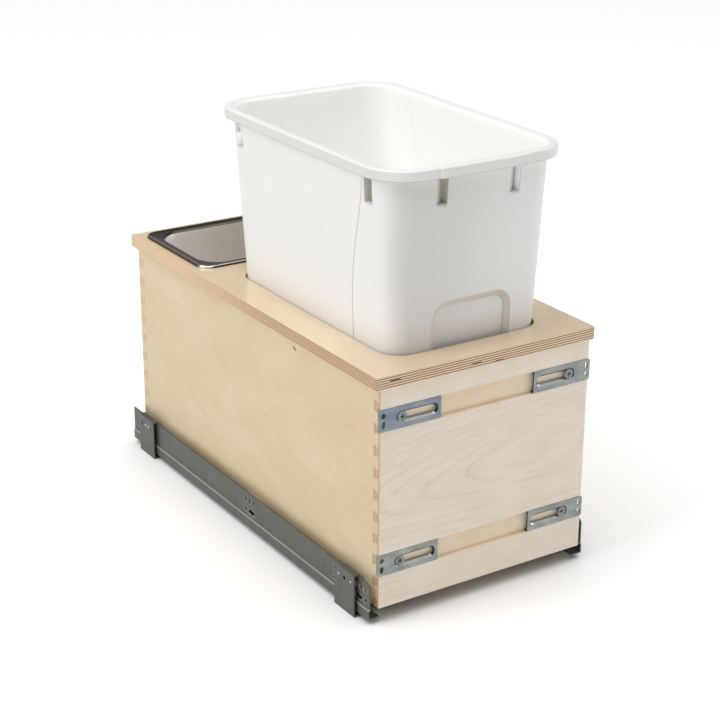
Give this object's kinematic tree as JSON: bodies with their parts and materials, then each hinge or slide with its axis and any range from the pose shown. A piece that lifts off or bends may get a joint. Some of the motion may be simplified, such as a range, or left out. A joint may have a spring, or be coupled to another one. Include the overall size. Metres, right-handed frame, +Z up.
{
  "type": "pull-out waste bin unit",
  "caption": "Dovetailed wooden pull-out drawer with a plywood deck holding a tall white bin and a steel pan, on full-extension slides with door brackets.",
  "frame": {"origin": "bottom centre of the closed unit's bounding box, on the cabinet floor", "axes": "+Z up, the door side faces -Y, +X to the right seen from the door side"},
  "size_m": [0.302, 0.576, 0.4929],
  "materials": {
    "birch_board": "clear lacquered birch, satin",
    "maple_front": "clear lacquered pale maple, satin",
    "birch_ply": "lacquered birch plywood with layered edges",
    "strip_wood": "plain birch strip",
    "bin_plastic": "white moulded polymer, fine satin texture",
    "stainless": "stainless steel, polished flange and brushed bowl",
    "zinc_plate": "zinc plated steel",
    "screw_steel": "zinc plated screws",
    "galvanised": "galvanised steel sheet, dull grey",
    "roller_steel": "hardened steel rollers",
    "cage_plastic": "moulded roller cage",
    "bumper_rubber": "black rubber",
    "lock_plastic": "black moulded plastic",
    "lever_plastic": "orange moulded plastic"
  },
  "bodies": {
    "rails": {"cabinet_rail_left": "galvanised", "cabinet_rail_right": "galvanised", "floor_bracket_front_left": "galvanised", "floor_bracket_front_right": "galvanised", "floor_bracket_rear_left": "galvanised", "floor_bracket_rear_right": "galvanised", "rail_bumpers": "bumper_rubber"},
    "lower_cages": {"lower_cage_left": "cage_plastic", "lower_cage_right": "cage_plastic", "lower_rollers": "roller_steel"},
    "mid_rails": {"mid_rail_left": "galvanised", "mid_rail_right": "galvanised"},
    "upper_cages": {"upper_cage_left": "cage_plastic", "upper_cage_right": "cage_plastic", "upper_rollers": "roller_steel"},
    "drawer": {"side_left": "birch_board", "side_right": "birch_board", "front_panel": "maple_front", "back_panel": "birch_board", "bottom_panel": "birch_ply", "deck": "birch_ply", "front_strip": "strip_wood", "cross_rail": "strip_wood", "deck_screws": "screw_steel", "bracket_screws": "screw_steel", "drawer_rail_left": "galvanised", "drawer_rail_right": "galvanised", "lock_housing_left": "lock_plastic", "lock_housing_right": "lock_plastic", "lock_screws": "screw_steel", "lock_pins": "screw_steel"},
    "bin": {"bin": "bin_plastic"},
    "pan": {"pan": "stainless"},
    "door_bracket_ul": {"door_bracket_upper_left": "zinc_plate"},
    "door_bracket_ur": {"door_bracket_upper_right": "zinc_plate"},
    "door_bracket_ll": {"door_bracket_lower_left": "zinc_plate"},
    "door_bracket_lr": {"door_bracket_lower_right": "zinc_plate"},
    "lever_left": {"lock_lever_left": "lever_plastic"},
    "lever_right": {"lock_lever_right": "lever_plastic"}
  },
  "joints": [
    {"name": "drawer_slide", "type": "slide", "parent": "rails", "child": "drawer", "axis": [0, -1, 0], "range_m": [0, 0.54]},
    {"name": "mid_rail_slide", "type": "slide", "parent": "rails", "child": "mid_rails", "axis": [0, -1, 0], "range_m": [0, 0.271]},
    {"name": "lower_cage_slide", "type": "slide", "parent": "rails", "child": "lower_cages", "axis": [0, -1, 0], "range_m": [0, 0.136]},
    {"name": "upper_cage_slide", "type": "slide", "parent": "rails", "child": "upper_cages", "axis": [0, -1, 0], "range_m": [0, 0.406]},
    {"name": "bin_lift", "type": "slide", "parent": "drawer", "child": "bin", "axis": [0, 0, 1], "range_m": [0, 0.26]},
    {"name": "pan_lift", "type": "slide", "parent": "drawer", "child": "pan", "axis": [0, 0, 1], "range_m": [0, 0.11]},
    {"name": "door_bracket_ul_slide", "type": "slide", "parent": "drawer", "child": "door_bracket_ul", "axis": [-1, 0, 0], "range_m": [0, 0.038]},
    {"name": "door_bracket_ur_slide", "type": "slide", "parent": "drawer", "child": "door_bracket_ur", "axis": [1, 0, 0], "range_m": [0, 0.038]},
    {"name": "door_bracket_ll_slide", "type": "slide", "parent": "drawer", "child": "door_bracket_ll", "axis": [-1, 0, 0], "range_m": [0, 0.038]},
    {"name": "door_bracket_lr_slide", "type": "slide", "parent": "drawer", "child": "door_bracket_lr", "axis": [1, 0, 0], "range_m": [0, 0.038]},
    {"name": "lever_left_hinge", "type": "hinge", "parent": "drawer", "child": "lever_left", "pos_m": [-0.0765, -0.2468, 0.0259], "axis": [0, 0, 1], "range_deg": [0, 12], "stiffness_Nm_per_rad": 0.05},
    {"name": "lever_right_hinge", "type": "hinge", "parent": "drawer", "child": "lever_right", "pos_m": [0.0765, -0.2468, 0.0259], "axis": [0, 0, -1], "range_deg": [0, 12], "stiffness_Nm_per_rad": 0.05}
  ],
  "couplings": [
    {"joint": "mid_rail_slide", "follows": "drawer_slide", "ratio": 0.5},
    {"joint": "lower_cage_slide", "follows": "drawer_slide", "ratio": 0.25},
    {"joint": "upper_cage_slide", "follows": "drawer_slide", "ratio": 0.75}
  ]
}
